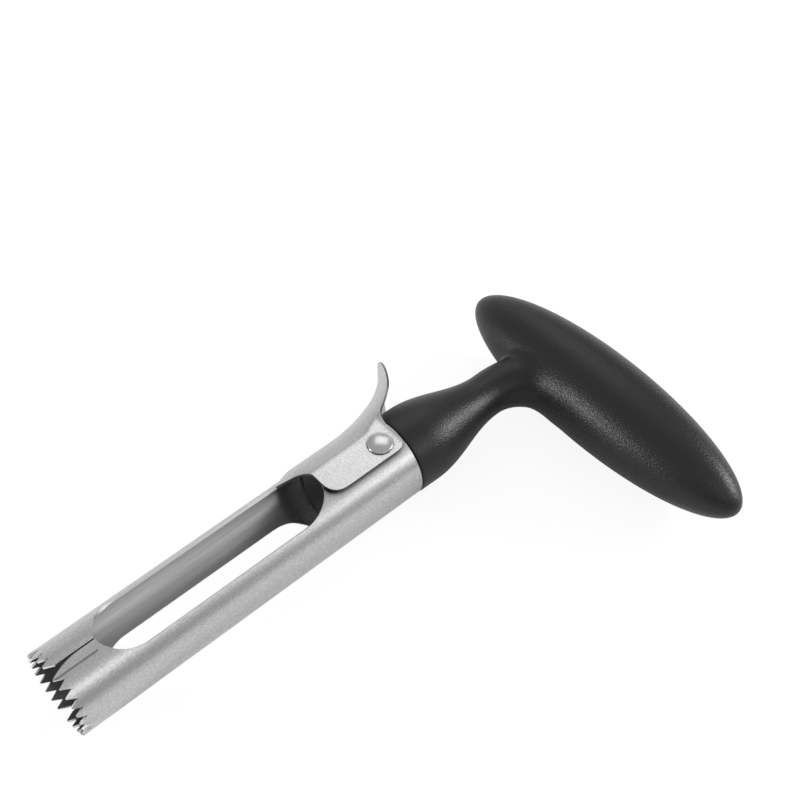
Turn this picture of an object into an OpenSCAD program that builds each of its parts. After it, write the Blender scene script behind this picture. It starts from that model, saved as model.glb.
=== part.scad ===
// Fruit corer with a hinged half tube and a T grip, lying on its side.
// X runs along the tube from the tooth tips to the grip, Y points to the thumb
// tab, and Z is the direction of the pivot rivet. The origin is the centre of
// the toothed ring, in the plane of its tips. Lengths are millimetres.

/* [Tube] */
// Outer radius of the tube and of the collar
tube_r = 12; // [9:0.5:15]
// Thickness of the rolled steel sheet
sheet_t = 0.7; // [0.5:0.1:1]
// Length of the steel from the tooth tips to the rim of the collar
steel_length = 109.4; // [90:0.2:130]
// Length of the full collar behind the two half tubes
collar_length = 24.2; // [20:0.2:28]
// Width of the slit between the two half tubes
seam_gap = 0.4; // [0.2:0.1:0.8]

/* [Teeth] */
// Number of teeth on each half
teeth_per_half = 13; // [9:1:16]
// Depth of the notches between the teeth
tooth_depth = 2.4; // [1.5:0.1:3.5]
// Width of the blunt tip of a tooth
tooth_tip = 0.3; // [0.2:0.05:0.6]
// Angle from one seam to the first tooth of a half, whose edge is swept back
first_tooth_angle = 13.5; // [12:0.5:15]
// Angle from the last tooth of a half to the other seam
last_tooth_angle = 8; // [7:0.5:9]
// Length of the swept edge beside the first tooth
sweep_length = 9.5; // [6:0.5:11]

/* [Windows] */
// Where the windows begin, behind the tooth tips
window_start = 13.6; // [8:0.2:20]
// Strip that is left between the windows and the collar
window_margin = 1.4; // [0.8:0.2:4]
// Half of the width of the windows
window_half = 7.8; // [5:0.2:9]
// Length of the rounded end by the teeth
window_front_round = 10.4; // [6:0.2:14]
// Length of the rounded end by the collar
window_back_round = 11; // [6:0.2:14]

/* [Hinged half] */
// Gap between the collar and the sheet that lies over it
web_gap = 0.2; // [0.15:0.05:0.5]
// Length over which the sheet steps out over the collar
step_length = 5; // [4:0.5:7]
// Distance from the end of that step to the collar
step_lead = 2.7; // [2.2:0.1:3.4]
// How far the ears reach in front of the collar
ear_lead = 1.8; // [1:0.1:2.1]
// Distance of the ears from the rim of the collar
ear_back = 0.8; // [0.4:0.1:1.4]
// How far the ears reach below the middle of the tube
ear_drop = 6.7; // [5.4:0.1:8]
// How far the flat of the ears reaches above the middle of the tube
ear_rise = 3.1; // [2:0.1:4]
// Slanted length of the lower front corner of an ear
ear_front_corner = 3.6; // [2:0.2:5]
// Radius of the lower rear corner of an ear
ear_rear_corner = 3.2; // [2:0.2:4]
// How far the ears stand out from the round sheet
ear_stand = 0.05; // [0.02:0.01:0.1]

/* [Thumb tab] */
// Distance from the rim of the collar to where the sheet starts to lift
tab_lead = 12.8; // [10:0.2:15]
// Radius of the first, gentle lift
tab_lift_r = 49.6; // [44:0.2:60]
// Angle at which the lift turns into the bend
tab_lift_angle = 19; // [14:0.2:23]
// Radius of the bend
tab_bend_r = 25.4; // [20:0.2:31]
// Angle of the tab to the tube behind the bend
tab_angle = 50.6; // [40:0.2:60]
// Length of the straight tip behind the bend
tab_tip_length = 3.9; // [3:0.1:6]
// Half of the width of the tab
tab_half = 13.4; // [12:0.1:13.6]
// Length of the rounded end of the tab
tab_round = 9.4; // [7:0.2:12]

/* [Pivot rivet] */
// Distance of the rivet from the rim of the collar
rivet_lead = 6.3; // [5:0.1:8]
// Distance of the rivet below the middle of the tube
rivet_drop = 1.9; // [0:0.1:2.4]
// Radius of the shank
rivet_r = 2; // [1.5:0.1:2.4]
// Running clearance round the shank
rivet_clearance = 0.05; // [0.02:0.01:0.1]
// Clearance under the head and over the formed tail
head_clearance = 0.05; // [0.02:0.01:0.1]
// Radius of the head
head_r = 3.5; // [2.8:0.1:4]
// Height of the rim of the head
head_rim = 0.45; // [0.3:0.05:0.8]
// Height of the crown above the rim
head_crown = 0.55; // [0.3:0.05:1]
// Radius of the formed tail
tail_r = 3; // [2.6:0.1:3.6]
// Height of the formed tail
tail_height = 0.8; // [0.5:0.1:1.2]

/* [Handle] */
// Clearance between the plug and the collar
plug_clearance = 0.05; // [0.02:0.01:0.1]
// Length of the plug inside the collar
plug_length = 23.4; // [19:0.2:28]
// Chamfer of the front edge of the plug
plug_chamfer = 0.8; // [0.4:0.1:1.5]
// Gap between the rim of the collar and the soft grip
rim_gap = 0.3; // [0.2:0.05:0.6]
// Thickness of the soft grip over the core
skin_t = 2; // [1.2:0.1:2.6]
// How far the neck is smaller in radius than the collar
neck_inset = 0.3; // [0:0.05:0.5]
// Distance of the neck's middle below the tube's middle at the collar
neck_front_drop = 0.5; // [0:0.1:0.8]
// Distance of the neck's middle below the tube's middle at the waist
waist_drop = 1.2; // [0:0.1:1.6]
// Length of the straight part of the neck behind the rim
neck_straight = 6.6; // [4:0.2:9]
// Length of the taper from there to the waist
taper_length = 27; // [22:0.5:33]
// Radius of the waist
waist_r = 6.3; // [5.2:0.1:7.5]
// Radius of the fillet between the neck and the long side of the grip bar
fillet_r = 10; // [8:0.2:12]
// Angle of the elbow that bends round this fillet into the bar
elbow_angle = 84; // [82:1:90]
// How much larger in radius than the waist the elbow ends, inside the bar
elbow_flare = 3.6; // [1:0.2:4]
// Distance from the waist to the middle of the grip bar
grip_reach = 23.2; // [19:0.2:25]
// Distance of the middle of the grip bar from the tube's middle line
grip_offset = 24.6; // [20:0.2:30]
// Length of the grip bar
grip_length = 100.4; // [90:0.2:112]
// Thickness of the grip bar
grip_thickness = 27.4; // [24:0.2:32]

/* [Hidden] */
round_fn = 96;
// One overrun for every cut
over = 1;
curve_steps = 10;
profile_steps = 18;
ring_sides = 48;
elbow_steps = 12;
// Sharpness of the rounded end of the tab: 2 is an ellipse, less is more pointed
tab_round_power = 1.75;
// How the elbow's radius grows along it: 1 is steady, more is later
elbow_flare_power = 1.5;
collar_start = steel_length - collar_length;
window_end = collar_start - window_margin;
step_end = collar_start - step_lead;
step_start = step_end - step_length;
ear_start = collar_start - ear_lead;
ear_end = steel_length - ear_back;
tab_start = steel_length - tab_lead;
rivet_x = steel_length - rivet_lead;
plug_start = steel_length - plug_length;
taper_start = steel_length + neck_straight;
waist_x = taper_start + taper_length;
grip_x = waist_x + grip_reach;
elbow_r = fillet_r + waist_r;
tube_inner_r = tube_r - sheet_t;
web_inner_r = tube_r + web_gap;
web_r = web_inner_r + sheet_t;
ear_inner = web_inner_r + ear_stand;
ear_outer = ear_inner + sheet_t;
seam_half = seam_gap / 2;
tooth_pitch_angle = (180 - first_tooth_angle - last_tooth_angle) / (teeth_per_half - 1);
notch_half = tube_r * sin(tooth_pitch_angle / 2) - tooth_tip / 2;
seam_notch_half = tube_r * sin(last_tooth_angle) - tooth_tip / 2;
seam_notch_depth = tooth_depth * seam_notch_half / notch_half;
sweep_depth = tube_r * sin(first_tooth_angle) - tooth_tip / 2 - seam_half;
sweep_r = (pow(sweep_length, 2) + pow(sweep_depth, 2)) / (2 * sweep_depth);
neck_r = tube_r - neck_inset;
grip_r = grip_thickness / 2;
skin_start = steel_length + rim_gap;
tab_bend_x = tab_start + tab_lift_r * sin(tab_lift_angle);
tab_bend_rise = tab_lift_r * (1 - cos(tab_lift_angle));
tab_straight_x = tab_bend_x + tab_bend_r * (sin(tab_angle) - sin(tab_lift_angle));
tab_straight_rise = tab_bend_rise + tab_bend_r * (cos(tab_lift_angle) - cos(tab_angle));
tab_end_x = tab_straight_x + tab_tip_length * cos(tab_angle);
tab_end_rise = tab_straight_rise + tab_tip_length * sin(tab_angle);

steel_color = [0.74, 0.74, 0.75];
plastic_color = [0.13, 0.13, 0.135];
soft_color = [0.2, 0.2, 0.205];

// Points of an arc round (cx, cy), from angle a to angle b
function arc(cx, cy, r, a, b, steps) =
    [for (i = [0:steps]) [cx + r * cos(a + (b - a) * i / steps),
                          cy + r * sin(a + (b - a) * i / steps)]];

// Points of a quarter of an ellipse round (cx, 0), from angle a to angle b
function ellipse_arc(cx, rx, ry, a, b, steps) =
    [for (i = [0:steps]) [cx + rx * cos(a + (b - a) * i / steps),
                          ry * sin(a + (b - a) * i / steps)]];

// Outline of a window, seen along the rivet
window_points = concat(
    ellipse_arc(window_start + window_front_round, window_front_round, window_half,
                90, 270, profile_steps),
    ellipse_arc(window_end - window_back_round, window_back_round, window_half,
                -90, 90, profile_steps));

// Distance of one face of the hinged sheet from the middle of the tube: the
// sheet steps out over the collar, lifts gently, bends and ends in a straight.
// inset is 0 for the outer face and the thickness of the sheet for the inner one.
function sheet_profile(inset) = concat(
    [[0, tube_r - inset], [step_start, tube_r - inset], [step_end, web_r - inset]],
    arc(tab_start, web_r + tab_lift_r, tab_lift_r + inset, -90,
        tab_lift_angle - 90, curve_steps),
    arc(tab_straight_x - tab_bend_r * sin(tab_angle),
        web_r + tab_straight_rise + tab_bend_r * cos(tab_angle), tab_bend_r + inset,
        tab_lift_angle - 90, tab_angle - 90, curve_steps),
    [[tab_end_x + inset * sin(tab_angle), web_r + tab_end_rise - inset * cos(tab_angle)]]);

function reversed(list) = [for (i = [len(list) - 1:-1:0]) list[i]];

// One side of the outline of the sheet: straight along the tube, within the ears,
// then as wide as the tab, whose end is rounded to its middle
function tab_points(side) = concat(
    [[-over, side * (web_r + over)], [tab_start, side * (web_r + over)],
     [tab_start, side * ear_outer], [ear_end, side * ear_outer], [ear_end, side * tab_half]],
    [for (i = [0:profile_steps - 1]) let (a = 90 * i / profile_steps)
        [tab_end_x - tab_round + tab_round * pow(sin(a), 2 / tab_round_power),
         side * tab_half * pow(cos(a), 2 / tab_round_power)]]);

// Radius of the neck: a smooth fall from the collar to the waist
function neck_radius(x) =
    x < taper_start ? neck_r
    : waist_r + (neck_r - waist_r) * (1 + cos(180 * (x - taper_start) / taper_length)) / 2;

// How far the neck's middle lies below the tube's middle
function neck_drop(x) = neck_front_drop
    + (waist_drop - neck_front_drop) * (x - skin_start) / (waist_x - skin_start);

// Radius of the elbow at an angle, where its inner side keeps to the fillet
function elbow_radius(a) = waist_r + elbow_flare * pow(a / elbow_angle, elbow_flare_power);

// Stations along the neck and its elbow: middle (x, y), direction and radius
neck_stations = concat(
    [for (i = [0:profile_steps])
        let (x = skin_start + (waist_x - skin_start) * i / profile_steps)
        [x, -neck_drop(x), 0, neck_radius(x)]],
    [for (i = [1:elbow_steps])
        let (a = elbow_angle * i / elbow_steps, r = elbow_radius(a))
        [waist_x + (fillet_r + r) * sin(a), (fillet_r + r) * cos(a) - elbow_r - waist_drop,
         -a, r]]);

// Ring of points round one station, square to its direction
function neck_ring(station) =
    [for (i = [0:ring_sides - 1]) let (a = 360 * i / ring_sides)
        [station[0] - station[3] * cos(a) * sin(station[2]),
         station[1] + station[3] * cos(a) * cos(station[2]),
         station[3] * sin(a)]];

// Turns a shape made along Z so that it lies along X
module along_x() {
    rotate([0, 90, 0])
        children();
}

// Solid of revolution round the X axis from points (x, radius)
module turned(points) {
    rotate([0, 90, 0])
        rotate([0, 0, 90])
            rotate_extrude($fn = round_fn)
                polygon([for (p = points) [p[1], p[0]]]);
}

// Both windows as one cut right through the tube
module window_cut() {
    translate([0, 0, -ear_outer - over])
        linear_extrude(height = 2 * (ear_outer + over))
            polygon(window_points);
}

// One notch of the teeth, at an angle from the near seam round the ring
module notch(angle, half, depth) {
    rotate([angle, 0, 0])
        linear_extrude(height = tube_r + over)
            polygon([[depth, 0], [0, half], [-over, half], [-over, -half], [0, -half]]);
}

// Corner of a half beside its first tooth, swept back from the seam in an arc
module swept_corner() {
    linear_extrude(height = tube_r + over)
        polygon(concat([[-over, 0], [sweep_length, 0]],
            arc(sweep_length, -seam_half - sweep_r, sweep_r, 90,
                90 + asin((sweep_length + over) / sweep_r), curve_steps)));
}

// The teeth of both halves, which are alike, half a turn apart
module tooth_cuts() {
    for (turn = [0, 180]) {
        for (i = [1:teeth_per_half - 1])
            notch(turn + first_tooth_angle + (i - 1 / 2) * tooth_pitch_angle,
                  notch_half, tooth_depth);
        notch(turn + 180, seam_notch_half, seam_notch_depth);
        rotate([turn, 0, 0])
            swept_corner();
    }
}

// Hole for the shank, right through the tool
module rivet_hole() {
    translate([rivet_x, -rivet_drop, -ear_outer - over])
        cylinder(r = rivet_r + rivet_clearance, h = 2 * (ear_outer + over), $fn = round_fn);
}

// Flat of one ear, seen along the rivet
module ear_outline() {
    polygon(concat(
        [[ear_start, ear_rise], [ear_start, ear_front_corner - ear_drop],
         [ear_start + ear_front_corner, -ear_drop]],
        arc(ear_end - ear_rear_corner, ear_rear_corner - ear_drop, ear_rear_corner,
            -90, 0, curve_steps),
        [[ear_end, ear_rise]]));
}

// The two flat ears, with the bend that joins them to the round sheet
module ears() {
    for (side = [-1, 1])
        translate([0, 0, side > 0 ? ear_inner : -ear_outer])
            linear_extrude(height = sheet_t)
                ear_outline();
    bend_y = ear_rise + 2 * sheet_t;
    bend_z = sqrt(pow(web_r, 2) - pow(bend_y, 2));
    for (side = [-1, 1])
        translate([ear_start, 0, 0])
            rotate([90, 0, 90])
                linear_extrude(height = ear_end - ear_start)
                    polygon([
                        [ear_rise - sheet_t, side * ear_inner],
                        [ear_rise - sheet_t, side * ear_outer],
                        [ear_rise, side * ear_outer],
                        [bend_y, side * bend_z],
                        [bend_y, side * (bend_z - sheet_t / 2)]]);
}

module fixed_blade() {
    color(steel_color)
        difference() {
            along_x()
                cylinder(r = tube_r, h = steel_length, $fn = round_fn);
            translate([-over, 0, 0])
                along_x()
                    cylinder(r = tube_inner_r, h = steel_length + 2 * over, $fn = round_fn);
            translate([-over, -seam_half, -tube_r - over])
                cube([collar_start + over, tube_r + over + seam_half, 2 * (tube_r + over)]);
            window_cut();
            tooth_cuts();
            rivet_hole();
        }
}

module hinged_blade() {
    color(steel_color)
        difference() {
            union() {
                intersection() {
                    turned(concat(sheet_profile(0), reversed(sheet_profile(sheet_t))));
                    translate([-over, seam_half, -tab_half - over])
                        cube([tab_end_x + 2 * over, web_r + tab_end_rise + over,
                              2 * (tab_half + over)]);
                    rotate([90, 0, 0])
                        translate([0, 0, -web_r - tab_end_rise - over])
                            linear_extrude(height = web_r + tab_end_rise + 2 * over)
                                polygon(concat(tab_points(1), [[tab_end_x, 0]],
                                               reversed(tab_points(-1))));
                }
                ears();
            }
            window_cut();
            tooth_cuts();
            rivet_hole();
        }
}

module pivot_rivet() {
    head_z = ear_outer + head_clearance;
    color(steel_color)
        translate([rivet_x, -rivet_drop, 0])
            union() {
                translate([0, 0, -head_z - tail_height / 2])
                    cylinder(r = rivet_r, h = 2 * head_z + tail_height / 2 + head_rim / 2,
                             $fn = round_fn);
                translate([0, 0, head_z])
                    rotate_extrude($fn = round_fn)
                        polygon(concat([[0, 0], [head_r, 0]],
                            [for (i = [0:curve_steps]) [
                                head_r * cos(90 * i / curve_steps),
                                head_rim + head_crown * sin(90 * i / curve_steps)]]));
                translate([0, 0, -head_z])
                    rotate_extrude($fn = round_fn)
                        polygon(concat([[0, 0]],
                            [for (i = [curve_steps:-1:0]) [
                                tail_r * cos(90 * i / curve_steps),
                                -tail_height * (1 + sin(90 * i / curve_steps)) / 2]],
                            [[tail_r, 0]]));
            }
}

// Outside of the neck: rings joined along its stations, closed by the first and last
module neck_shape() {
    last = ring_sides * (len(neck_stations) - 1);
    polyhedron(
        points = [for (station = neck_stations) each neck_ring(station)],
        faces = concat(
            [for (k = [0:ring_sides:last - 1], i = [0:ring_sides - 1])
                let (j = (i + 1) % ring_sides)
                each [[k + i, k + ring_sides + i, k + ring_sides + j],
                      [k + i, k + ring_sides + j, k + j]]],
            [[for (i = [0:ring_sides - 1]) i]],
            [[for (i = [ring_sides - 1:-1:0]) last + i]]));
}

// Inside of the neck: a straight taper and an elbow, the skin's thickness smaller,
// with a thin spigot that ties one to the other
module neck_core() {
    translate([0, -waist_drop, 0])
        turned(concat(
            [[steel_length - rim_gap, 0], [steel_length - rim_gap, neck_r - skin_t]],
            [for (i = [0:profile_steps])
                let (x = taper_start + taper_length * i / profile_steps)
                [x, neck_radius(x) - skin_t]],
            [[waist_x, (waist_r - skin_t) / 2], [waist_x + over, (waist_r - skin_t) / 2],
             [waist_x + over, 0]]));
    translate([waist_x, -waist_drop - elbow_r, 0])
        rotate([0, 0, 90 - elbow_angle])
            rotate_extrude(angle = elbow_angle, $fn = round_fn)
                translate([elbow_r, 0])
                    circle(r = waist_r - skin_t, $fn = round_fn);
}

// Grip bar, a long round body that swells to its middle
module bar_shape(inset) {
    translate([grip_x, -grip_offset, 0])
        rotate([90, 0, 0])
            rotate_extrude($fn = round_fn)
                polygon([for (i = [0:2 * profile_steps]) let (a = 90 * i / profile_steps - 90)
                    [(grip_r - inset) * cos(a), (grip_length / 2 - inset) * sin(a)]]);
}

module handle_core() {
    color(plastic_color)
        difference() {
            union() {
                turned([
                    [plug_start, 0],
                    [plug_start, tube_inner_r - plug_clearance - plug_chamfer],
                    [plug_start + plug_chamfer, tube_inner_r - plug_clearance],
                    [skin_start, tube_inner_r - plug_clearance],
                    [skin_start, 0]]);
                neck_core();
                bar_shape(skin_t);
            }
            rivet_hole();
        }
}

module soft_grip() {
    color(soft_color)
        difference() {
            union() {
                neck_shape();
                bar_shape(0);
            }
            neck_core();
            bar_shape(skin_t);
        }
}

fixed_blade();
hinged_blade();
pivot_rivet();
handle_core();
soft_grip();
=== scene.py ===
"""Looks of the hand fruit corer: two rolled steel halves, a rivet, a moulded core and a soft grip.

Sizes are millimetres in the frame of the model: X runs along the tube from the tooth
tips to the grip, Y points to the thumb tab and Z along the rivet. Meshes are in metres.
"""

import logging
from dataclasses import dataclass
from enum import Enum, IntEnum
from typing import Any, Callable

import bpy
import numpy as np
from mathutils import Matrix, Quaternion, Vector


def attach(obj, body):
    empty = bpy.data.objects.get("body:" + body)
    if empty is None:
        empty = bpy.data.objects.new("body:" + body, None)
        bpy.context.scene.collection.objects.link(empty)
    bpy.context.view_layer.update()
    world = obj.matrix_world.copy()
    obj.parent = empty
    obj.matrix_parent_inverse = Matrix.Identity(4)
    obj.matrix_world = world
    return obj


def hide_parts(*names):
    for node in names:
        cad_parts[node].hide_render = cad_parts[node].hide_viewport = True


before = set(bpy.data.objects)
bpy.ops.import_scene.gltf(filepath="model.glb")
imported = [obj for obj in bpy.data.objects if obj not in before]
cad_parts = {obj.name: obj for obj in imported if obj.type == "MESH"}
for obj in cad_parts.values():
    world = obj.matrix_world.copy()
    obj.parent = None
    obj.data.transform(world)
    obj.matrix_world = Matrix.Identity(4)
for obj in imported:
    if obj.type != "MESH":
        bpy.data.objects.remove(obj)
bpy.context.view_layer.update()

log = logging.getLogger("corer")
MM = 0.001
TINY = 1e-9
Array = np.ndarray
Tree = bpy.types.NodeTree
Socket = bpy.types.NodeSocket


class Body(Enum):
    """The bodies of the model that a piece can ride on."""

    TOOL = "tool_body"
    HINGED = "hinged_half"


class SheetSlot(IntEnum):
    """Material slots of a steel half, in the order of its finishes."""

    OUTSIDE = 0
    INSIDE = 1
    CUT = 2
    # Painted shade: the dark finish on some cut edges
    DULL = 3


def linear_colour(code: str) -> tuple[float, float, float, float]:
    """Turns an sRGB hex colour into the linear colour that a shader takes.

    Args:
        code: six hex digits, such as "c8c8c6".

    Returns:
        Linear red, green, blue and an alpha of 1.
    """
    shares = [int(code[i:i + 2], 16) / 255 for i in (0, 2, 4)]
    red, green, blue = (s / 12.92 if s <= 0.04045 else ((s + 0.055) / 1.055) ** 2.4 for s in shares)
    return red, green, blue, 1.0


def smooth(low: float, high: float, at: Array) -> Array:
    """Smooth step: 0 below low, 1 above high, and 3t^2 - 2t^3 between them."""
    t = np.clip((at - low) / (high - low), 0.0, 1.0)
    return t * t * (3.0 - 2.0 * t)


def bezier(start: tuple[float, float], control: tuple[float, float], end: tuple[float, float],
           steps: int) -> Array:
    """Points of a quadratic curve, without its start: (1-t)^2 A + 2t(1-t) K + t^2 B.

    Args:
        start, control, end: the three points A, K and B of the curve.
        steps: number of points.

    Returns:
        Array of steps by 2.
    """
    t = np.linspace(0.0, 1.0, steps + 1)[1:, None]
    return (1 - t) ** 2 * np.array(start) + 2 * t * (1 - t) * np.array(control) + t * t * np.array(end)


def grid_faces(rows: int, columns: int, closed: bool = False) -> Array:
    """Four corners of each cell of a grid of points, wound so that row x column looks out.

    Args:
        rows, columns: size of the grid.
        closed: joins the last column to the first.

    Returns:
        Array of cells by 4 of point numbers.
    """
    i = np.arange(rows - 1)[:, None]
    j = np.arange(columns if closed else columns - 1)[None, :]
    k = (j + 1) % columns
    cells = np.stack([i * columns + j, i * columns + k, (i + 1) * columns + k, (i + 1) * columns + j], -1)
    return cells.reshape(-1, 4)


def closed_faces(rows: int, columns: int) -> list[list[int]]:
    """Faces of rings from one pole to another, whose two points follow those of the grid.

    Args:
        rows, columns: size of the grid, with its last column joined to its first.

    Returns:
        Quads between the rings and a fan of triangles at each pole.
    """
    j = np.arange(columns)
    k = (j + 1) % columns
    last, pole = (rows - 1) * columns, rows * columns
    start = np.stack([0 * j + pole, k, j], 1)
    end = np.stack([last + j, last + k, 0 * j + pole + 1], 1)
    return grid_faces(rows, columns, closed=True).tolist() + start.tolist() + end.tolist()


def weld(points: Array, faces: Array) -> tuple[Array, list[list[int]]]:
    """Joins points of a mesh that lie within 0.1 micrometre.

    Args:
        points: places in millimetres, n by 3.
        faces: point numbers, m by 4.

    Returns:
        The joined points and the faces on them.
    """
    _, first, inverse = np.unique(np.round(points, 4), axis=0, return_index=True, return_inverse=True)
    return points[first], inverse.reshape(-1)[faces].tolist()


def new_piece(name: str, points: Array, faces: list[list[int]]) -> bpy.types.Object:
    """Makes a smooth mesh object at the origin.

    Args:
        name: name of the object.
        points: places in millimetres.
        faces: point numbers of each face.

    Returns:
        The object, linked to the scene.
    """
    mesh = bpy.data.meshes.new(name)
    mesh.from_pydata((points * MM).tolist(), [], faces)
    mesh.shade_smooth()
    piece = bpy.data.objects.new(name, mesh)
    bpy.context.scene.collection.objects.link(piece)
    return piece


def settle(piece: bpy.types.Object, crease_deg: float) -> None:
    """Makes a piece's modifiers permanent and marks its sharp edges.

    Args:
        piece: the piece, which keeps its shape and loses its modifiers.
        crease_deg: angle from which an edge is sharp.
    """
    graph = bpy.context.evaluated_depsgraph_get()
    mesh = bpy.data.meshes.new_from_object(piece.evaluated_get(graph))
    piece.modifiers.clear()
    piece.data = mesh
    mesh.shade_smooth()
    mesh.set_sharp_from_angle(angle=np.radians(crease_deg))


def clear_tree(owner: bpy.types.Material | bpy.types.World) -> Tree:
    """Turns the nodes of a material or a world on and clears them."""
    owner.use_nodes = True
    owner.node_tree.nodes.clear()
    return owner.node_tree


def add_node(tree: Tree, kind: str, values: dict[Any, Any] | None = None,
             links: dict[Any, Socket] | None = None, **settings: Any) -> bpy.types.Node:
    """Adds a node to a shader tree.

    Args:
        tree: the tree that gets the node.
        kind: Blender's name of the node.
        values: value of each input that is named or numbered.
        links: output that feeds each input that is named or numbered.
        settings: the node's own settings.

    Returns:
        The new node.
    """
    node = tree.nodes.new(kind)
    for key, value in settings.items():
        setattr(node, key, value)
    for key, value in (values or {}).items():
        node.inputs[key].default_value = value
    for key, output in (links or {}).items():
        tree.links.new(output, node.inputs[key])
    return node


@dataclass(frozen=True)
class Grain:
    """One layer of fine relief: its size in millimetres along X, Y and Z and its height."""

    size: tuple[float, float, float]
    height: float
    detail: float = 2.0

    def noise(self, tree: Tree, place: Socket) -> Socket:
        """Noise whose features have the grain's size, as an output from 0 to 1."""
        scaled = add_node(tree, "ShaderNodeMapping", {"Scale": [1 / (MM * s) for s in self.size]},
                          {"Vector": place})
        return add_node(tree, "ShaderNodeTexNoise", {"Scale": 1.0, "Detail": self.detail},
                        {"Vector": scaled.outputs["Vector"]}).outputs["Fac"]


@dataclass(frozen=True)
class Overlay:
    """A second colour that lies over a part of a surface; each one in this script is painted shade."""

    colour: str

    def share(self, tree: Tree, place: Socket) -> Socket:
        """Share of the colour at a place, from 0 to 1."""
        raise NotImplementedError

    def over(self, tree: Tree, place: Socket, base: Socket) -> Socket:
        """Lays the colour over a base: (1 - share) base + share colour.

        Args:
            tree: the material's nodes.
            place: Object coordinates.
            base: the colour below.

        Returns:
            The mixed colour.
        """
        return add_node(tree, "ShaderNodeMix", {7: linear_colour(self.colour)},
                        {0: self.share(tree, place), 6: base}, data_type="RGBA").outputs[2]


@dataclass(frozen=True)
class PaintedCreaseShade(Overlay):
    """Painted shade in creases: whole where the free share of what is round a place is closed, none at
    opened.
    """

    reach: float
    closed: float
    opened: float
    samples: int = 8

    def share(self, tree: Tree, place: Socket) -> Socket:
        """Share of the painted shade, from how much is free within reach of a place."""
        free = add_node(tree, "ShaderNodeAmbientOcclusion", {"Distance": self.reach * MM},
                        samples=self.samples).outputs["AO"]
        return add_node(tree, "ShaderNodeMapRange",
                        {"From Min": self.closed, "From Max": self.opened, "To Min": 1.0,
                         "To Max": 0.0}, {"Value": free}).outputs["Result"]


@dataclass(frozen=True)
class PaintedShadeBehindTeeth(Overlay):
    """Painted shade inside the tube behind the teeth, where little light reaches: whole up to the X
    start, none from the X end.
    """

    start: float
    end: float

    def share(self, tree: Tree, place: Socket) -> Socket:
        """Share of the painted shade, falling evenly along X."""
        x = add_node(tree, "ShaderNodeSeparateXYZ", links={0: place}).outputs["X"]
        return add_node(tree, "ShaderNodeMapRange",
                        {"From Min": self.start * MM, "From Max": self.end * MM, "To Min": 1.0,
                         "To Max": 0.0}, {"Value": x}).outputs["Result"]


@dataclass(frozen=True)
class PaintedCreaseLine(Overlay):
    """A painted dark line of shade along X at one Y, on a crease, from the teeth to the X end."""

    y: float
    end: float
    half_width: float
    depth: float

    def share(self, tree: Tree, place: Socket) -> Socket:
        """Share of the painted line's colour: its depth within the line, and none beside it."""
        axes = add_node(tree, "ShaderNodeSeparateXYZ", links={0: place}).outputs
        on_line = add_node(tree, "ShaderNodeMath", {1: self.y * MM, 2: self.half_width * MM},
                           {0: axes["Y"]}, operation="COMPARE").outputs[0]
        before = add_node(tree, "ShaderNodeMath", {1: self.end * MM}, {0: axes["X"]},
                          operation="LESS_THAN").outputs[0]
        within = add_node(tree, "ShaderNodeMath", links={0: on_line, 1: before},
                          operation="MULTIPLY").outputs[0]
        return add_node(tree, "ShaderNodeMath", {1: self.depth}, {0: within},
                        operation="MULTIPLY").outputs[0]


@dataclass(frozen=True)
class Finish:
    """A finish: colour, gloss, layers of relief and painted shades, all on Object coordinates."""

    name: str
    colour: str
    shade: str
    metallic: float
    roughness: float
    spread: float
    grains: tuple[Grain, ...]
    mottle: Grain = Grain((9.0, 9.0, 9.0), 0.0)
    specular: float = 0.5
    painted_shades: tuple[Overlay, ...] = ()

    def material(self) -> bpy.types.Material:
        """Builds the material: the mottle mixes the two colours and moves the roughness.

        Returns:
            The new material, which has the finish's name.
        """
        made = bpy.data.materials.new(self.name)
        tree = clear_tree(made)
        place = add_node(tree, "ShaderNodeTexCoord").outputs["Object"]
        patches = self.mottle.noise(tree, place)
        colour = add_node(tree, "ShaderNodeMix",
                          {6: linear_colour(self.colour), 7: linear_colour(self.shade)},
                          {0: patches}, data_type="RGBA").outputs[2]
        for overlay in self.painted_shades:
            colour = overlay.over(tree, place, colour)
        gloss = add_node(tree, "ShaderNodeMapRange", {
            "To Min": self.roughness - self.spread, "To Max": self.roughness + self.spread},
            {"Value": patches}).outputs["Result"]
        links = {"Base Color": colour, "Roughness": gloss}
        for grain in self.grains:
            below = {"Normal": links["Normal"]} if "Normal" in links else {}
            relief = add_node(tree, "ShaderNodeBump", {"Distance": grain.height * MM},
                              {"Height": grain.noise(tree, place), **below})
            links["Normal"] = relief.outputs["Normal"]
        shader = add_node(tree, "ShaderNodeBsdfPrincipled",
                          {"Metallic": self.metallic, "Specular IOR Level": self.specular}, links)
        add_node(tree, "ShaderNodeOutputMaterial", links={"Surface": shader.outputs["BSDF"]})
        return made


# Painted shade in creases, within 3 mm of where two sheets meet
STEEL_PAINTED_CREASE_SHADE = PaintedCreaseShade("101010", 3.0, 0.52, 0.93)
# Stainless sheet, rolled and then bead blasted: a pale neutral grey whose long soft bands come
# from the rolling. The blasted grain is finer than 0.1 mm and is drawn at 0.42 to 0.8 mm so that
# it shows. Creases get painted shade, and a painted dark line of shade lies 3 mm beside the seam
# behind the teeth, on the crease at the edge of the coined flat
SATIN_STEEL = Finish("satin_stainless_sheet", "dedede", "969696", 1.0, 0.33, 0.04,
                     (Grain((60.0, 2.4, 2.4), 0.008), Grain((0.8, 0.45, 0.45), 0.022, 3.0)),
                     Grain((0.6, 0.42, 0.42), 0.0, 4.0),
                     painted_shades=(STEEL_PAINTED_CREASE_SHADE, PaintedCreaseLine("505050", -3.0, 12.6, 0.28, 0.6)))
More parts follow.
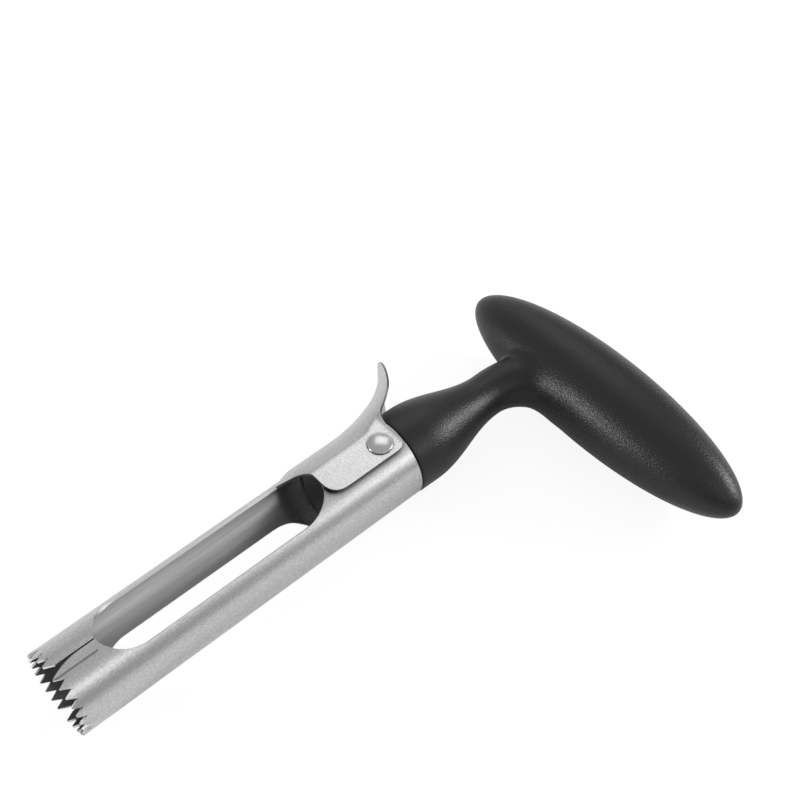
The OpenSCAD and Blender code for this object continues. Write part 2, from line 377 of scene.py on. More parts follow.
# The same sheet's mill side: smoother, with drawn streaks, so it mirrors the plug and the
# windows. Its streaks are 0.1 mm wide and are drawn at 0.8 to 1.4 mm. Behind the teeth it gets
# painted shade, darker where little light reaches into the tube
MILL_STEEL = Finish("mill_polished_stainless", "dcdcdc", "b4b4b4", 1.0, 0.32, 0.03,
                    (Grain((80.0, 1.4, 1.4), 0.02), Grain((2.0, 0.4, 0.4), 0.008)),
                    Grain((30.0, 0.8, 0.8), 0.0, 3.0),
                    painted_shades=(PaintedShadeBehindTeeth("828282", 8.0, 14.0),))
# Cut and deburred edge: the brightest lines of the tool, with 0.1 mm file marks drawn at 0.4 mm, and
# painted shade in its creases
CUT_EDGE = Finish("deburred_steel_edge", "ececec", "d6d6d6", 1.0, 0.3, 0.04,
                  (Grain((0.4, 0.4, 0.4), 0.01),), painted_shades=(STEEL_PAINTED_CREASE_SHADE,))
# Edges of the ears, the tab and the collar's front: painted shade, a dark grey that stands in
# for the shade and dark reflections on these edges and draws a thin dark outline there
PAINTED_SHADE_EDGE = Finish("painted_shade_edge_steel", "686868", "525252", 1.0, 0.36, 0.04,
                    (Grain((2.0, 0.4, 0.4), 0.008),))
# Rivet head, turned and polished: sharp small reflections on a low dome, whose turning marks
# are drawn at 0.5 mm
TURNED_STEEL = Finish("turned_polished_steel", "c4c4c4", "b0b0b0", 1.0, 0.25, 0.02,
                      (Grain((0.5, 0.5, 0.5), 0.004),))
# Rigid polypropylene from a polished mould: near black with a weak wide sheen
MOULDED_CORE = Finish("moulded_polypropylene", "161617", "121213", 0.0, 0.42, 0.04,
                      (Grain((0.5, 0.5, 0.5), 0.006),))
# Soft thermoplastic rubber from a spark-eroded mould: matt black whose 0.1 mm pits scatter
# a pale bloom, drawn at 0.45 to 1.1 mm so that they show
SOFT_RUBBER = Finish("spark_eroded_soft_rubber", "1f1f20", "181819", 0.0, 0.37, 0.05,
                     (Grain((1.1, 1.1, 1.1), 0.05, 3.0), Grain((0.45, 0.45, 0.45), 0.1)),
                     Grain((0.7, 0.7, 0.7), 0.0, 3.0), specular=0.3)


@dataclass(frozen=True)
class Tube:
    """Sizes that both steel halves share, and the shape of their toothed front."""

    radius: float = 12.0
    sheet: float = 0.7
    length: float = 109.4
    collar_start: float = 85.2
    seam_half: float = 0.2
    teeth: int = 13
    tooth_depth: float = 2.4
    tooth_tip: float = 0.3
    first_tooth_deg: float = 13.5
    last_tooth_deg: float = 8.0
    sweep_length: float = 9.5
    coined_deg: float = 14.5
    coined_fade: float = 2.0
    window_start: float = 13.6
    window_end: float = 83.8
    window_half: float = 7.8
    front_round: float = 10.4
    back_round: float = 11.0
    edge_round: float = 0.1
    tooth_rows_end: float = 4.0
    flank_steps: int = 4
    pull_share: float = 0.04
    tooth_rows: int = 9
    ring_rows: int = 12
    round_rows: int = 22
    side_rows: int = 50
    sharp_deg: float = 18.0

    def swept_edge(self, x: Array) -> Array:
        """Angle from the seam to the edge that is swept back in an arc beside tooth one.

        The edge lies at seam_half + R - sqrt(R^2 - (L - x)^2) from the middle plane, with
        R the radius that makes it meet the corner of the first tooth at x = 0.

        Args:
            x: places along the tube.

        Returns:
            Angle in radians at each place.
        """
        depth = (self.radius * np.sin(np.radians(self.first_tooth_deg)) - self.tooth_tip / 2
                 - self.seam_half)
        sweep_r = (self.sweep_length ** 2 + depth ** 2) / (2 * depth)
        back = np.clip(self.sweep_length - x, 0.0, None)
        fall = sweep_r - np.sqrt(sweep_r ** 2 - back ** 2)
        return np.arcsin((self.seam_half + fall) / self.radius)

    def tooth_line(self) -> tuple[Array, Array]:
        """The zigzag front edge of one half.

        Returns:
            Shares from 0 to 1 across the half, and how far back the edge lies at each.
        """
        pitch = (180 - self.first_tooth_deg - self.last_tooth_deg) / (self.teeth - 1)
        half_tip = np.degrees(self.tooth_tip / 2 / self.radius)
        tips = self.first_tooth_deg + pitch * np.arange(self.teeth)
        seam = 180 - np.degrees(self.seam_half / self.radius)
        roots = tips + pitch / 2
        slope = self.tooth_depth / (pitch / 2 - half_tip)
        roots[-1] = seam
        depths = slope * (roots - tips - half_tip)
        corners = np.stack([tips - half_tip, tips + half_tip, roots], 1).reshape(-1)
        backs = np.stack([0 * tips, 0 * tips, depths], 1).reshape(-1)
        marks = np.arange(len(corners)) * self.flank_steps
        fine = np.arange(marks[-1] + 1)
        on_tip = (fine // self.flank_steps) % 3 == 0
        keep = ~on_tip | (fine % self.flank_steps == 0)
        angles = np.interp(fine, marks, corners)[keep]
        depth = np.interp(fine, marks, backs)[keep]
        angles[0] = np.degrees(self.swept_edge(np.array(0.0)))
        return (angles - angles[0]) / (angles[-1] - angles[0]), depth

    def front_rows(self) -> tuple[Array, Array, Array]:
        """Rows of the grid from the teeth to the windows.

        The swept edge pulls only the columns beside it, so that no cell folds at a root:
        its pull falls as e^(-share / pull_share) and turns even towards the windows.

        Returns:
            The x and the angle of each point, and the share of each column on the last row.
        """
        share, back = self.tooth_line()
        near = np.linspace(0, 1, self.tooth_rows)[:, None]
        tooth_x = back + (self.tooth_rows_end - back) * near
        start = self.window_start + self.front_round * (1 - np.cos(self.seam_half / self.window_half))
        plain_x = np.linspace(self.tooth_rows_end, start, self.ring_rows)[1:, None] + 0 * share
        x = np.concatenate([tooth_x, plain_x])
        left = self.swept_edge(x[:, :1])
        right = np.pi - np.arcsin(self.seam_half / self.radius)
        even = left + (right - left) * share
        pull = np.exp(-share / self.pull_share)
        pulled = left[0] + (right - left[0]) * share + (left - left[0]) * pull
        angle = pulled + (even - pulled) * smooth(self.tooth_rows_end, self.window_start, x)
        return x, angle, (angle[-1] - angle[-1, 0]) / (angle[-1, -1] - angle[-1, 0])

    def window_side(self) -> tuple[Array, Array]:
        """The front end of a window, a quarter of an ellipse, and its straight side.

        Returns:
            The x and the half width of each row.
        """
        u = np.linspace(self.seam_half / self.window_half, np.pi / 2, self.round_rows + 1)[1:]
        x = self.window_start + self.front_round * (1 - np.cos(u))
        plain_x = np.linspace(x[-1], self.window_end - self.back_round, self.side_rows)[1:]
        width = np.concatenate([self.window_half * np.sin(u), 0 * plain_x + self.window_half])
        return np.concatenate([x, plain_x]), width

    def window_back(self, rows: int, stop: float) -> tuple[Array, Array]:
        """The rounded rear end of a window as x and half width, up to a half width stop."""
        u = np.linspace(0, np.arccos(stop / self.window_half), rows + 1)[1:]
        return self.window_end - self.back_round * (1 - np.sin(u)), self.window_half * np.cos(u)

    def coined(self, x: Array, angle: Array) -> Array:
        """Share of the radius that is left where the strip beside the seam is coined flat.

        The flat is a chord: cos(e / 2) / cos(angle - e / 2) of the radius, up to the edge e.

        Args:
            x, angle: places along the tube and round it from the seam.

        Returns:
            Share of the radius at each place, 1 beside the windows.
        """
        edge = np.radians(self.coined_deg)
        flat = np.cos(edge / 2) / np.cos(np.clip(angle, 0, edge) - edge / 2)
        fade_from = self.window_start - self.coined_fade
        return 1 - (1 - flat) * (1 - smooth(fade_from, self.window_start, x))

    def finish_sheet(self, piece: bpy.types.Object, edge_shade_from: float, edge_shade_to: float) -> None:
        """Gives a surface the sheet's thickness and rounds the edges of the cut.

        Args:
            piece: the sheet's outside, which gets its inside and its edges.
            edge_shade_from, edge_shade_to: places X between which the cut edges get painted shade, the
                dark edge finish.
        """
        for finish in (SATIN_STEEL, MILL_STEEL, CUT_EDGE, PAINTED_SHADE_EDGE):
            piece.data.materials.append(bpy.data.materials.get(finish.name) or finish.material())
        wall = piece.modifiers.new("wall", "SOLIDIFY")
        wall.thickness = self.sheet * MM
        wall.offset = -1.0
        wall.material_offset = SheetSlot.INSIDE
        wall.material_offset_rim = SheetSlot.CUT
        settle(piece, self.sharp_deg)
        self.weigh_edges(piece.data)
        edge = piece.modifiers.new("edge", "BEVEL")
        edge.width = self.edge_round * MM
        edge.segments = 2
        edge.limit_method = "WEIGHT"
        edge.material = SheetSlot.CUT
        settle(piece, self.sharp_deg)
        # Painted shade: the cut edges between the two places X get the dark edge finish
        self.paint_edge_shade(piece.data, edge_shade_from, edge_shade_to)

    def paint_edge_shade(self, mesh: bpy.types.Mesh, edge_shade_from: float, edge_shade_to: float) -> None:
        """Paints shade onto some of the cut edges: gives them the dark edge finish.

        Args:
            mesh: the finished sheet.
            edge_shade_from, edge_shade_to: places X between which the edges get it.
        """
        centres = np.empty(len(mesh.polygons) * 3)
        mesh.polygons.foreach_get("center", centres)
        finish = np.empty(len(mesh.polygons), np.int32)
        mesh.polygons.foreach_get("material_index", finish)
        x = centres[::3] / MM
        finish[(finish == SheetSlot.CUT) & (x > edge_shade_from) & (x < edge_shade_to)] = SheetSlot.DULL
        mesh.polygons.foreach_set("material_index", finish)

    def weigh_edges(self, mesh: bpy.types.Mesh) -> None:
        """Marks the sheet's square edges for rounding, but for the teeth, which stay sharp.

        Args:
            mesh: the sheet with its wall, whose sharp edges are known.
        """
        ends = np.empty(len(mesh.edges) * 2, np.int64)
        mesh.edges.foreach_get("vertices", ends)
        places = np.empty(len(mesh.vertices) * 3)
        mesh.vertices.foreach_get("co", places)
        sharp = np.empty(len(mesh.edges), bool)
        mesh.attributes["sharp_edge"].data.foreach_get("value", sharp)
        behind = (places[::3][ends.reshape(-1, 2)] > self.tooth_rows_end * MM).all(axis=1)
        weights = mesh.attributes.new("bevel_weight_edge", "FLOAT", "EDGE")
        weights.data.foreach_set("value", (sharp & behind).astype(np.float32))


@dataclass(frozen=True)
class FixedHalf:
    """The near half of the tube with the full collar, on the -Y side."""

    tube: Tube = Tube()
    strip_rows: int = 4
    collar_rows: int = 24
    collar_columns: int = 72
    # Painted shade on the collar's front edge reaches this far to either side of it
    edge_shade_reach: float = 0.2

    def build(self) -> bpy.types.Object:
        """Rolls the half: angle runs from the near seam round the -Y side to the far seam.

        Returns:
            The finished piece.
        """
        tube = self.tube
        x, angle, share = tube.front_rows()
        side_x, side_width = tube.window_side()
        back_x, back_width = tube.window_back(tube.round_rows, tube.seam_half)
        strip_x = np.linspace(back_x[-1], tube.collar_start, self.strip_rows)[1:]
        rows_x = np.concatenate([side_x, back_x, strip_x])
        width = np.concatenate([side_width, back_width, 0 * strip_x + tube.seam_half])
        edge = np.arcsin(width / tube.radius)[:, None]
        x = np.concatenate([x, rows_x[:, None] + 0 * share])
        angle = np.concatenate([angle, edge + (np.pi - 2 * edge) * share])
        points = self.places(x, angle)
        rest = np.linspace(angle[-1, -1], 2 * np.pi + angle[-1, 0], self.collar_columns + 1)[1:-1]
        ring = np.concatenate([angle[-1], rest])[None, :]
        collar_x = np.linspace(tube.collar_start, tube.length, self.collar_rows)[:, None]
        collar = self.places(collar_x + 0 * ring, ring + 0 * collar_x)
        faces = np.concatenate([grid_faces(*x.shape),
                                grid_faces(self.collar_rows, ring.size, closed=True) + x.size])
        piece = new_piece("fixed_tube_half", *weld(np.concatenate([points, collar]), faces))
        # Painted shade: the collar's front edge gets the dark edge finish
        front = tube.collar_start
        tube.finish_sheet(piece, front - self.edge_shade_reach, front + self.edge_shade_reach)
        return piece

    def places(self, x: Array, angle: Array) -> Array:
        """Places on the round sheet: y = -R sin(angle), z = R cos(angle)."""
        r = self.tube.radius * self.tube.coined(x, angle)
        return np.stack([x, -r * np.sin(angle), r * np.cos(angle)], -1).reshape(-1, 3)


@dataclass(frozen=True)
class HingedHalf:
    """The far half of the tube with its two ears and the thumb tab, on the +Y side.

    The ears' flats form over the lengths ear_rise and end over ear_fade, counted from
    ear_end. Rows lead the edge by row_leads at its corners.
    """

    tube: Tube = Tube()
    step_start: float = 77.5
    step_end: float = 82.5
    web_rise: float = 0.9
    # Painted shade on the cut edges starts this far before the step
    edge_shade_lead: float = 2.0
    ear_start: float = 83.4
    ear_end: float = 108.6
    ear_rise: tuple[float, float] = (78.5, 83.2)
    ear_fade: tuple[float, float] = (-1.5, 5.0)
    ear_top_y: float = 2.1
    ear_nose_y: float = -1.8
    ear_rear_y: float = 1.0
    ear_drop: float = 6.7
    ear_flat_top: float = 3.1
    ear_face: float = 12.95
    ear_bend_r: float = 5.0
    ear_bend_least: float = 0.06
    ear_front_reach: float = 5.2
    ear_rear_r: float = 3.2
    edge_lean: float = 0.1
    tab_start: float = 96.6
    lift_r: float = 49.6
    lift_deg: float = 19.0
    bend_r: float = 25.4
    tab_deg: float = 50.6
    tip_length: float = 3.9
    tab_root_x: float = 112.4
    tab_half: float = 13.4
    tab_round: float = 9.4
    tab_round_power: float = 1.75
    tab_corner_deg: float = 55.0
    row_leads: tuple[float, ...] = (3.4, 5.0, 4.2, -3.4, -4.2, -1.6)
    bow_start: float = 112.0
    back_rows: int = 18
    drop_rows: int = 6
    nose_rows: int = 14
    low_rows: int = 20
    rear_rows: int = 9
    rise_rows: int = 7
    hollow_rows: int = 10
    side_rows: int = 8
    end_rows: int = 16
    halvings: int = 40
    most_width: float = 40.0
    most_flank: float = 25.0
    most_along: float = 150.0

    def profile(self, along: Array) -> tuple[Array, Array]:
        """Middle line of the sheet, from the side.

        It runs straight, steps out over the collar, lifts on a large arc, bends on a
        smaller one and ends straight.

        Args:
            along: lengths on this line, which are x as long as it runs straight.

        Returns:
            The x and the distance from the tube's middle at each length.
        """
        first, last = np.radians(self.lift_deg), np.radians(self.tab_deg)
        lift = np.clip(along - self.tab_start, 0, self.lift_r * first) / self.lift_r
        past = along - self.tab_start - self.lift_r * first
        bend = first + np.clip(past, 0, self.bend_r * (last - first)) / self.bend_r
        tip = np.clip(past - self.bend_r * (last - first), 0, None)
        x = (np.minimum(along, self.tab_start) + self.lift_r * np.sin(lift)
             + self.bend_r * (np.sin(bend) - np.sin(first)) + tip * np.cos(last))
        rise = (self.lift_r * (1 - np.cos(lift)) + self.bend_r * (np.cos(first) - np.cos(bend))
                + tip * np.sin(last))
        step = self.web_rise * smooth(self.step_start, self.step_end, along)
        return x, self.tube.radius + step + rise

    def along_end(self) -> float:
        """Length on the middle line at the end of the tab."""
        return (self.tab_start + self.lift_r * np.radians(self.lift_deg)
                + self.bend_r * np.radians(self.tab_deg - self.lift_deg) + self.tip_length)

    def section(self, along: Array, width: Array) -> tuple[Array, Array, Array]:
        """Bends the sheet across: it is round, leaves the circle on its tangent, and bends
        into the flat of the ear. Where there is no ear, the circle goes on.

        Args:
            along: lengths on the middle line.
            width: signed lengths across the sheet.

        Returns:
            The x, y and z of each point.
        """
        x, r = self.profile(along)
        fade_from, fade_to = self.ear_end + self.ear_fade[0], self.ear_end + self.ear_fade[1]
        eared = smooth(*self.ear_rise, along) * (1 - smooth(fade_from, fade_to, x))
        flat = r + (self.ear_face - r) * eared
        corner_r = np.hypot(self.ear_flat_top, self.ear_face)
        corner_r = r + (np.maximum(corner_r, r + self.ear_bend_least) - r) * eared
        corner_y = np.sqrt(np.clip(corner_r ** 2 - flat ** 2, 0, None))
        leave = np.arctan2(flat, corner_y) - np.arccos(np.clip(r / corner_r, 0, 1))
        turn = np.pi / 2 - leave
        tangent = np.sqrt(np.clip(corner_r ** 2 - r ** 2, 0, None))
        reach = np.minimum(self.ear_bend_r * np.tan(turn / 2), tangent)
        bend_r = reach / np.maximum(np.tan(turn / 2), TINY)
        s = np.abs(width)
        on_circle = np.minimum(s, r * leave)
        on_tangent = np.clip(s - r * leave, 0, tangent - reach)
        on_bend = np.clip(s - r * leave - (tangent - reach), 0, bend_r * turn)
        on_flat = np.clip(s - r * leave - (tangent - reach) - bend_r * turn, 0, None)
        now = leave + on_bend / np.maximum(bend_r, TINY)
        y = (r * np.cos(on_circle / r) - on_tangent * np.sin(leave)
             + bend_r * (np.cos(now) - np.cos(leave)) - on_flat)
        z = (r * np.sin(on_circle / r) + on_tangent * np.cos(leave)
             + bend_r * (np.sin(now) - np.sin(leave)))
        return x, y, z * np.sign(width)

    def solve(self, low: Array, high: Array, rises: Callable[[Array], Array]) -> Array:
        """Halves an interval over and over towards the place where a rising function is zero.

        Args:
            low, high: ends of the interval, for each value sought.
            rises: the function.

        Returns:
            The places.
        """
        for _ in range(self.halvings):
            middle = (low + high) / 2
            above = rises(middle) > 0
            high = np.where(above, middle, high)
            low = np.where(above, low, middle)
        return (low + high) / 2

    def width_at_y(self, along: Array, y: Array) -> Array:
        """Length across the sheet at which it has come down to a height y."""
        most = 0 * along + self.most_width
        return self.solve(0 * along, most, lambda s: y - self.section(along, s)[1])

    def along_at_x(self, x: Array) -> Array:
        """Length along the middle line at a place x."""
        return self.solve(0 * x, 0 * x + self.most_along, lambda p: self.profile(p)[0] - x)

    def width_at_z(self, along: Array, z: Array) -> Array:
        """Length across the tab at which it has reached a half width z."""
        most = 0 * along + self.most_flank
        return self.solve(0 * along, most, lambda s: self.section(along, s)[2] - z)

    def outline(self) -> tuple[Array, Array, Array]:
        """Edge of the sheet from the windows to the rounded end of the tab.

        Returns:
            For each row the length along the sheet at its edge, the width there, and the
            length along the middle line where the row crosses it.
        """
        side_x, side_width = self.tube.window_side()
        back_x, back_width = self.tube.window_back(self.back_rows, self.ear_top_y)
        drop_y = np.linspace(back_width[-1], self.ear_nose_y, self.drop_rows)[1:]
        nose = bezier((self.ear_start, self.ear_nose_y),
                      (self.ear_start + self.edge_lean, -self.ear_drop),
                      (self.ear_start + self.ear_front_reach, -self.ear_drop), self.nose_rows)
        low_x = np.linspace(nose[-1, 0], self.ear_end - self.ear_rear_r, self.low_rows)[1:]
        a = np.linspace(0, np.pi / 2, self.rear_rows)[1:]
        rear = np.stack([self.ear_end - self.ear_rear_r * (1 - np.sin(a)),
                         self.ear_rear_r * (1 - np.cos(a)) - self.ear_drop], 1)
        rise_y = np.linspace(rear[-1, 1], self.ear_rear_y, self.rise_rows)[1:]
        x = np.concatenate([side_x, back_x, 0 * drop_y + self.ear_start, nose[:, 0], low_x,
                            rear[:, 0], 0 * rise_y + self.ear_end])
        y = np.concatenate([side_width, back_width, drop_y, nose[:, 1],
                            0 * low_x - self.ear_drop, rear[:, 1], rise_y])
        along = self.along_at_x(x)
        width = self.width_at_y(along, y)
        tab_x, _ = self.profile(np.array(self.along_end()))
        root_along = self.along_at_x(np.array([self.tab_root_x]))
        root_width = self.width_at_z(root_along, np.array([self.tab_half]))
        hollow = bezier((along[-1], width[-1]), (along[-1] + self.edge_lean, root_width[0]),
                        (root_along[0], root_width[0]), self.hollow_rows)
        a = np.linspace(0, np.radians(self.tab_corner_deg), self.end_rows)
        flank_x = np.linspace(self.tab_root_x, tab_x - self.tab_round, self.side_rows)[1:-1]
        end_x = tab_x - self.tab_round * (1 - np.sin(a) ** (2 / self.tab_round_power))
        end_z = self.tab_half * np.cos(a) ** (2 / self.tab_round_power)
        tab_along = self.along_at_x(np.concatenate([flank_x, end_x]))
        tab_width = self.width_at_z(tab_along, np.concatenate([0 * flank_x + self.tab_half, end_z]))
        along = np.concatenate([along, hollow[:, 0], tab_along])
        width = np.concatenate([width, hollow[:, 1], tab_width])
        marks = np.cumsum([len(side_x), len(back_x), len(drop_y), len(nose), len(low_x),
                           len(rear) + len(rise_y), len(hollow)]) - 1
        return along, width, self.middle_line(along, width, marks)

    def middle_line(self, along: Array, width: Array, marks: Array) -> Array:
        """Where each row crosses the middle line.

        It follows the edge's own length between marks. Rows lead the edge where it turns
        across the sheet at the ear's front, and lag behind it at the ear's rear, so that
        they fan out round the ear and never cross.

        Args:
            along, width: the edge, row by row.
            marks: last row of the straight, the window's end, the drop, the ear's front
                corner, its lower edge, its rear edge and the hollow above it.

        Returns:
            Length along the middle line, row by row.
        """
        length = np.concatenate([[0], np.cumsum(np.hypot(np.diff(along), np.diff(width)))])
        leads = np.array([0.0, *self.row_leads])
        rows = np.array([0, *marks, len(along) - 1])
        levels = along[rows] + np.array([0.0, *leads, 0.0])
        levels[-1] = self.along_end()
        middle = np.interp(length, length[rows], levels)
        middle[:marks[0]] = along[:marks[0]]
        return middle

    def build(self) -> bpy.types.Object:
        """Lays a grid between the middle line and the edge and bends it into shape.

        Rows bow by the square of the share across, and at the end of the tab they turn
        into its round end.

        Returns:
            The finished piece.
        """
        tube = self.tube
        front_x, angle, share = tube.front_rows()
        front_width = tube.radius * (angle - np.pi / 2)
        along, width, middle = self.outline()
        t = np.abs(2 * share - 1)
        bow = t ** 2
        end_x, _ = self.profile(np.array(self.along_end()))
        z = t * self.tab_half * np.cos(np.radians(self.tab_corner_deg)) ** (2 / self.tab_round_power)
        arc_x = end_x - self.tab_round + self.tab_round * (
            1 - (z / self.tab_half) ** self.tab_round_power) ** (1 / self.tab_round_power)
        arc_along = self.along_at_x(arc_x)
        last_bow = (arc_along - middle[-1]) / (along[-1] - middle[-1])
        near_end = smooth(self.bow_start, self.along_end(), middle)[:, None]
        bow = bow + (last_bow - bow) * near_end
        rows = middle[:, None] + (along - middle)[:, None] * bow
        across = width[:, None] * (2 * share - 1)
        rows = np.concatenate([front_x, rows])
        across = np.concatenate([front_width, across])
        x, y, z = self.section(rows, across)
        flat = np.ones_like(x)
        flat[:len(front_x)] = tube.coined(front_x, angle)
        points = np.stack([x, y * flat, z * flat], -1).reshape(-1, 3)
        piece = new_piece("hinged_tube_half", *weld(points, grid_faces(*x.shape)))
        # Painted shade: the cut edges from a little before the step to the end get the dark edge finish
        tube.finish_sheet(piece, self.step_start - self.edge_shade_lead, np.inf)
        return piece


@dataclass(frozen=True)
class PivotRivet:
    """Rivet through both ears, the collar and the plug, turned round its own axis."""

    x: float = 103.1
    y: float = -1.9
    shank_r: float = 2.0
    seat: float = 13.0
    head_r: float = 3.5
    head_rim: float = 0.45
    head_crown: float = 0.55
    head_round: float = 0.25
    tail_r: float = 3.0
    tail_height: float = 0.8
    edge_break: float = 0.06
    round_rows: int = 20
    dome_rows: int = 24
    columns: int = 96
    sharp_deg: float = 35.0

    def build(self) -> bpy.types.Object:
        """Turns the profile: a formed tail, the shank and a low domed head.

        Returns:
            The finished piece.
        """
        a = np.linspace(0, np.pi / 2, self.round_rows)
        tail = np.stack([self.tail_r * np.sin(a[1:]),
                         -self.seat - self.tail_height * (1 + np.cos(a[1:])) / 2], 1)
        under = [[self.tail_r, -self.seat], [self.shank_r, -self.seat], [self.shank_r, self.seat],
                 [self.head_r - self.edge_break, self.seat], [self.head_r, self.seat + self.edge_break]]
        radius = self.head_r - self.head_round * (1 - np.cos(a))
        rim = self.seat + self.head_rim
        shoulder = np.stack([radius, rim - self.head_round * (1 - np.sin(a))], 1)
        cap = np.linspace(radius[-1], 0, self.dome_rows)[1:-1]
        dome = np.stack([cap, rim + self.head_crown * (1 - (cap / radius[-1]) ** 2)], 1)
        profile = np.concatenate([tail, under, shoulder, dome])
        turn = np.linspace(0, 2 * np.pi, self.columns, endpoint=False)
        rings = np.stack([self.x + profile[:, :1] * np.cos(turn),
                          self.y + profile[:, :1] * np.sin(turn), profile[:, 1:] + 0 * turn], -1)
        poles = [[self.x, self.y, -self.seat - self.tail_height],
                 [self.x, self.y, rim + self.head_crown]]
        piece = new_piece("turned_rivet", np.concatenate([rings.reshape(-1, 3), poles]),
                          closed_faces(len(profile), self.columns))
        piece.data.materials.append(TURNED_STEEL.material())
        piece.data.set_sharp_from_angle(angle=np.radians(self.sharp_deg))
        return piece


@dataclass(frozen=True)
class SoftGrip:
    """The moulded skin: a neck that narrows, an elbow that widens, and the palm bar.

    Its outside is where a field is zero: the least of the distances to the stem and to the
    bar, rounded where they meet. Its inside is where the field is minus the skin's thickness.
    """

    start: float = 109.7
    front_round: float = 0.6
    skin: float = 2.0
    neck_r: float = 11.7
    front_drop: float = 0.5
    waist_drop: float = 1.2
    taper_start: float = 116.0
    waist_x: float = 143.0
    waist_r: float = 6.3
    fillet_r: float = 10.0
    flare: float = 3.6
    flare_power: float = 1.5
    elbow_deg: float = 84.0
    bar_centre: tuple[float, float, float] = (166.2, -24.6, 0.0)
    bar_half: tuple[float, float, float] = (13.7, 50.2, 13.7)
    blend: float = 2.4
    join_deg: tuple[float, float, float] = (52.5, -27.0, 4.5)
    far_pole_deg: float = -20.0
    columns: int = 120
    neck_rows: int = 44
    elbow_rows: int = 36
    bar_rows: int = 84
    lip_rows: int = 7
    row_power: float = 1.1
    turned_share: float = 0.4
    tries: int = 6
    nudge: float = 0.01
    least_slope: float = 0.05
    most_step: float = 1.5
    sharp_deg: float = 40.0

    def neck(self, x: Array) -> tuple[Array, Array]:
        """Radius of the neck, half a cosine wave, and the straight drop of its axis.

        Args:
            x: places along the neck.

        Returns:
            The radius and the drop at each place.
        """
        share = np.clip((x - self.taper_start) / (self.waist_x - self.taper_start), 0, 1)
        wave = (1 - np.cos(np.pi * share)) / 2
        fall = np.clip((x - self.start) / (self.waist_x - self.start), 0, 1)
        radius = self.neck_r + (self.waist_r - self.neck_r) * wave
        return radius, self.front_drop + (self.waist_drop - self.front_drop) * fall

    def elbow(self, turn: Array) -> tuple[Array, Array, Array]:
        """Rings of the elbow, which widen while the inner side keeps its fillet.

        Args:
            turn: angles round the fillet's middle, in radians.

        Returns:
            The radius of the ring after each turn, and the x and y of its middle.
        """
        radius = self.waist_r + self.flare * (turn / np.radians(self.elbow_deg)) ** self.flare_power
        reach = self.fillet_r + radius
        x = self.waist_x + reach * np.sin(turn)
        return radius, x, reach * np.cos(turn) - self.waist_drop - self.fillet_r - self.waist_r

    def field(self, points: Array) -> Array:
        """Distance to the grip's outside, negative within it.

        Args:
            points: places in millimetres, n by 3.

        Returns:
            min(stem, bar) - h^2 k / 4, where h is the share of the blend k that they are apart.
        """
        x, y, z = points.T
        radius, drop = self.neck(x)
        neck = np.hypot(y + drop, z) - radius
        middle_y = y + self.waist_drop + self.fillet_r + self.waist_r
        turn = np.clip(np.arctan2(x - self.waist_x, middle_y), 0, np.radians(self.elbow_deg))
        ring, ring_x, ring_y = self.elbow(turn)
        elbow = np.sqrt((x - ring_x) ** 2 + (y - ring_y) ** 2 + z ** 2) - ring
        stem = np.where(x < self.waist_x, neck, elbow)
        scaled = (points - np.array(self.bar_centre)) / np.array(self.bar_half)
        length = np.linalg.norm(scaled, axis=1)
        bar = length * (length - 1) / np.linalg.norm(scaled / np.array(self.bar_half), axis=1)
        near = np.clip(self.blend - np.abs(stem - bar), 0, None) / self.blend
        return np.minimum(stem, bar) - near ** 2 * self.blend / 4

    def onto(self, points: Array, level: float) -> Array:
        """Moves points to where the field has a level, by Newton's steps along its slope.

        Args:
            points: places in millimetres, n by 3.
            level: the field's value that is sought.

        Returns:
            The moved places.
        """
        for _ in range(self.tries):
            rise = [self.field(points + n) - self.field(points - n) for n in self.nudge * np.eye(3)]
            slope = np.stack(rise, 1) / (2 * self.nudge)
            gap = (self.field(points) - level)[:, None]
            step = gap * slope / np.maximum((slope ** 2).sum(1, keepdims=True), self.least_slope)
            points = points - np.clip(step, -self.most_step, self.most_step)
        return points

    def stem_and_bar(self, inset: float, neck_x: Array) -> Array:
        """Rings from the first place on the neck to the last before the bar's far pole.

        On the bar a ring lies at one reach from the pole behind the neck, and its points
        turn from the bearing at which the elbow hands them over to an even one.

        Args:
            inset: how far the surface lies inside the grip's outside.
            neck_x: places of the rings along the neck.

        Returns:
            Array of rings by columns by 3.
        """
        v = np.linspace(0, 2 * np.pi, self.columns, endpoint=False)
        radius, drop = self.neck(neck_x[:, None])
        neck = np.stack([neck_x[:, None] + 0 * v, (radius - inset) * np.cos(v) - drop,
                         (radius - inset) * np.sin(v)], -1)
        base, once, twice = np.radians(self.join_deg)
        join = base + once * np.cos(v) + twice * np.cos(2 * v)
        turn = np.linspace(0, 1, self.elbow_rows + 1)[1:, None] * join
        ring, x, y = self.elbow(turn)
        out = (ring - inset) * np.cos(v)
        elbow = np.stack([x + out * np.sin(turn), y + out * np.cos(turn),
                          (ring - inset) * np.sin(v)], -1)
        half = np.array(self.bar_half) - inset
        first = (elbow[-1] - self.bar_centre) / half
        first /= np.linalg.norm(first, axis=1, keepdims=True)
        pole = self.far_pole()
        up = np.array([-pole[1], pole[0], 0.0])
        reach = np.arccos(-first @ pole)
        bearing = np.arctan2(first[:, 2], first @ up)
        spread = (v - bearing + np.pi) % (2 * np.pi) - np.pi
        s = (np.linspace(0, 1, self.bar_rows + 1)[1:-1] ** self.row_power)[:, None]
        reach = reach + (np.pi - reach) * s
        bearing = bearing + spread * smooth(0.0, self.turned_share, s)
        bar = (-np.cos(reach)[..., None] * pole + (np.sin(reach) * np.cos(bearing))[..., None] * up
               + (np.sin(reach) * np.sin(bearing))[..., None] * np.array([0.0, 0.0, 1.0]))
        bent = np.concatenate([elbow, self.bar_centre + bar * half])
        return np.concatenate([neck, self.onto(bent.reshape(-1, 3), -inset).reshape(bent.shape)])

    def far_pole(self) -> Array:
        """Direction of the bar's far pole, in shares of its half lengths."""
        turn = np.radians(self.far_pole_deg)
        return np.array([np.cos(turn), np.sin(turn), 0.0])

